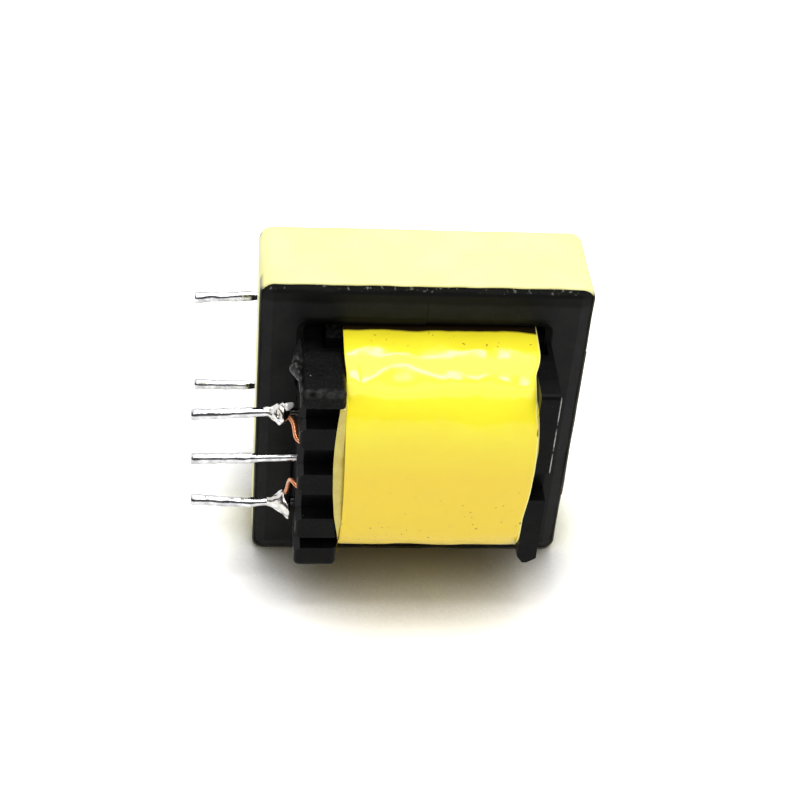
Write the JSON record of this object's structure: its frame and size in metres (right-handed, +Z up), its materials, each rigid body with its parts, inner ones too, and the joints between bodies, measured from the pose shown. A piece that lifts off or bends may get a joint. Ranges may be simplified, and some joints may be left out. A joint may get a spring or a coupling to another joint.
{
  "type": "pcb transformer",
  "caption": "Small ferrite E-core switching transformer with yellow tape, a black castellated bobbin rail and tinned circuit-board pins, lying on its side.",
  "frame": {"origin": "middle of the taped outer face of the lower core limb, which the part rests on", "axes": "+X along the winding axis away from the pins, which leave towards -X; -Y is the broad front face with three pins; +Z up. On a circuit board the board lies in the plane normal to -X."},
  "size_m": [0.0286, 0.0206, 0.0257],
  "materials": {
    "ferrite": "ground and smooth",
    "pale_tape": "satin film",
    "black_moulding": "moulded phenolic",
    "enamelled_wire": "enamelled copper",
    "clear_tape": "clear film",
    "yellow_tape": "glossy film",
    "tinned_pin": "hot-tinned",
    "solder": "solder, bright"
  },
  "bodies": {
    "root": {"core_half_pin_side": "ferrite", "core_half_far_side": "ferrite", "core_tape": "pale_tape", "bobbin": "black_moulding", "primary_winding": "enamelled_wire", "winding_insulation": "clear_tape", "secondary_winding": "enamelled_wire", "winding_underwrap": "pale_tape", "winding_outer_wrap": "yellow_tape", "pin_front_1": "tinned_pin", "pin_front_2": "tinned_pin", "pin_front_3": "tinned_pin", "pin_back_1": "tinned_pin", "pin_back_3": "tinned_pin", "solder_front_1": "solder", "lead_front_1": "enamelled_wire", "solder_front_3": "solder", "lead_front_3": "enamelled_wire", "solder_back_1": "solder", "lead_back_1": "enamelled_wire", "solder_back_3": "solder", "lead_back_3": "enamelled_wire"}
  },
  "joints": []
}
